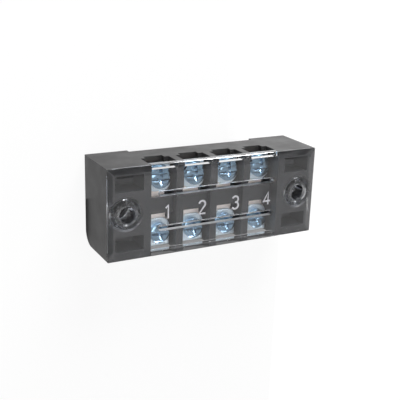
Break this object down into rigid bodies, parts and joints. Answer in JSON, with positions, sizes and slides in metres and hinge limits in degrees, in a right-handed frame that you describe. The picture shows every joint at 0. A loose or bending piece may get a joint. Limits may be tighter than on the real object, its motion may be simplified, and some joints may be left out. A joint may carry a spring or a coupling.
{
  "type": "barrier terminal strip",
  "caption": "Dual-row barrier terminal strip: black moulded housing, clear clip-on cover, screw clamp terminals and mounting holes at both ends.",
  "frame": {"origin": "middle of the mounting face, under the housing's two feet", "axes": "+X along the strip from pole 1 to pole 4, +Y across the strip to the upper row of terminals, +Z from the mounting face to the cover"},
  "size_m": [0.054, 0.0214, 0.015],
  "materials": {
    "black_plastic": "moulded phenolic plastic, satin",
    "clear_plastic": "clear polycarbonate, polished",
    "conductor_metal": "plated brass strip, satin",
    "zinc_clamp": "blue-white zinc plate, satin",
    "zinc_screw": "blue-white zinc plate, bright"
  },
  "bodies": {
    "housing": {"housing": "black_plastic", "conductor_1": "conductor_metal", "conductor_2": "conductor_metal", "conductor_3": "conductor_metal", "conductor_4": "conductor_metal"},
    "cover": {"cover": "clear_plastic"},
    "clamp_upper_1": {"clamp_plate_upper_1": "zinc_clamp"},
    "screw_upper_1": {"screw_upper_1": "zinc_screw"},
    "clamp_upper_2": {"clamp_plate_upper_2": "zinc_clamp"},
    "screw_upper_2": {"screw_upper_2": "zinc_screw"},
    "clamp_upper_3": {"clamp_plate_upper_3": "zinc_clamp"},
    "screw_upper_3": {"screw_upper_3": "zinc_screw"},
    "clamp_upper_4": {"clamp_plate_upper_4": "zinc_clamp"},
    "screw_upper_4": {"screw_upper_4": "zinc_screw"},
    "clamp_lower_1": {"clamp_plate_lower_1": "zinc_clamp"},
    "screw_lower_1": {"screw_lower_1": "zinc_screw"},
    "clamp_lower_2": {"clamp_plate_lower_2": "zinc_clamp"},
    "screw_lower_2": {"screw_lower_2": "zinc_screw"},
    "clamp_lower_3": {"clamp_plate_lower_3": "zinc_clamp"},
    "screw_lower_3": {"screw_lower_3": "zinc_screw"},
    "clamp_lower_4": {"clamp_plate_lower_4": "zinc_clamp"},
    "screw_lower_4": {"screw_lower_4": "zinc_screw"}
  },
  "joints": [
    {"name": "cover_lift", "type": "slide", "parent": "housing", "child": "cover", "axis": [0, 0, 1], "range_m": [0, 0.02]},
    {"name": "clamp_lift_upper_1", "type": "slide", "parent": "housing", "child": "clamp_upper_1", "axis": [0, 0, 1], "range_m": [0, 0.00075]},
    {"name": "screw_turn_upper_1", "type": "hinge", "parent": "clamp_upper_1", "child": "screw_upper_1", "pos_m": [-0.01312, 0.00655, 0.0091], "axis": [0, 0, 1], "range_deg": [0, 545]},
    {"name": "clamp_lift_upper_2", "type": "slide", "parent": "housing", "child": "clamp_upper_2", "axis": [0, 0, 1], "range_m": [0, 0.00075]},
    {"name": "screw_turn_upper_2", "type": "hinge", "parent": "clamp_upper_2", "child": "screw_upper_2", "pos_m": [-0.00438, 0.00655, 0.0091], "axis": [0, 0, 1], "range_deg": [0, 545]},
    {"name": "clamp_lift_upper_3", "type": "slide", "parent": "housing", "child": "clamp_upper_3", "axis": [0, 0, 1], "range_m": [0, 0.00075]},
    {"name": "screw_turn_upper_3", "type": "hinge", "parent": "clamp_upper_3", "child": "screw_upper_3", "pos_m": [0.00438, 0.00655, 0.0091], "axis": [0, 0, 1], "range_deg": [0, 545]},
    {"name": "clamp_lift_upper_4", "type": "slide", "parent": "housing", "child": "clamp_upper_4", "axis": [0, 0, 1], "range_m": [0, 0.00075]},
    {"name": "screw_turn_upper_4", "type": "hinge", "parent": "clamp_upper_4", "child": "screw_upper_4", "pos_m": [0.01312, 0.00655, 0.0091], "axis": [0, 0, 1], "range_deg": [0, 545]},
    {"name": "clamp_lift_lower_1", "type": "slide", "parent": "housing", "child": "clamp_lower_1", "axis": [0, 0, 1], "range_m": [0, 0.00075]},
    {"name": "screw_turn_lower_1", "type": "hinge", "parent": "clamp_lower_1", "child": "screw_lower_1", "pos_m": [-0.01312, -0.00655, 0.0091], "axis": [0, 0, 1], "range_deg": [0, 545]},
    {"name": "clamp_lift_lower_2", "type": "slide", "parent": "housing", "child": "clamp_lower_2", "axis": [0, 0, 1], "range_m": [0, 0.00075]},
    {"name": "screw_turn_lower_2", "type": "hinge", "parent": "clamp_lower_2", "child": "screw_lower_2", "pos_m": [-0.00438, -0.00655, 0.0091], "axis": [0, 0, 1], "range_deg": [0, 545]},
    {"name": "clamp_lift_lower_3", "type": "slide", "parent": "housing", "child": "clamp_lower_3", "axis": [0, 0, 1], "range_m": [0, 0.00075]},
    {"name": "screw_turn_lower_3", "type": "hinge", "parent": "clamp_lower_3", "child": "screw_lower_3", "pos_m": [0.00438, -0.00655, 0.0091], "axis": [0, 0, 1], "range_deg": [0, 545]},
    {"name": "clamp_lift_lower_4", "type": "slide", "parent": "housing", "child": "clamp_lower_4", "axis": [0, 0, 1], "range_m": [0, 0.00075]},
    {"name": "screw_turn_lower_4", "type": "hinge", "parent": "clamp_lower_4", "child": "screw_lower_4", "pos_m": [0.01312, -0.00655, 0.0091], "axis": [0, 0, 1], "range_deg": [0, 545]}
  ],
  "couplings": [
    {"joint": "screw_turn_upper_1", "follows": "clamp_lift_upper_1", "rad_per_m": 12566},
    {"joint": "screw_turn_upper_2", "follows": "clamp_lift_upper_2", "rad_per_m": 12566},
    {"joint": "screw_turn_upper_3", "follows": "clamp_lift_upper_3", "rad_per_m": 12566},
    {"joint": "screw_turn_upper_4", "follows": "clamp_lift_upper_4", "rad_per_m": 12566},
    {"joint": "screw_turn_lower_1", "follows": "clamp_lift_lower_1", "rad_per_m": 12566},
    {"joint": "screw_turn_lower_2", "follows": "clamp_lift_lower_2", "rad_per_m": 12566},
    {"joint": "screw_turn_lower_3", "follows": "clamp_lift_lower_3", "rad_per_m": 12566},
    {"joint": "screw_turn_lower_4", "follows": "clamp_lift_lower_4", "rad_per_m": 12566}
  ]
}
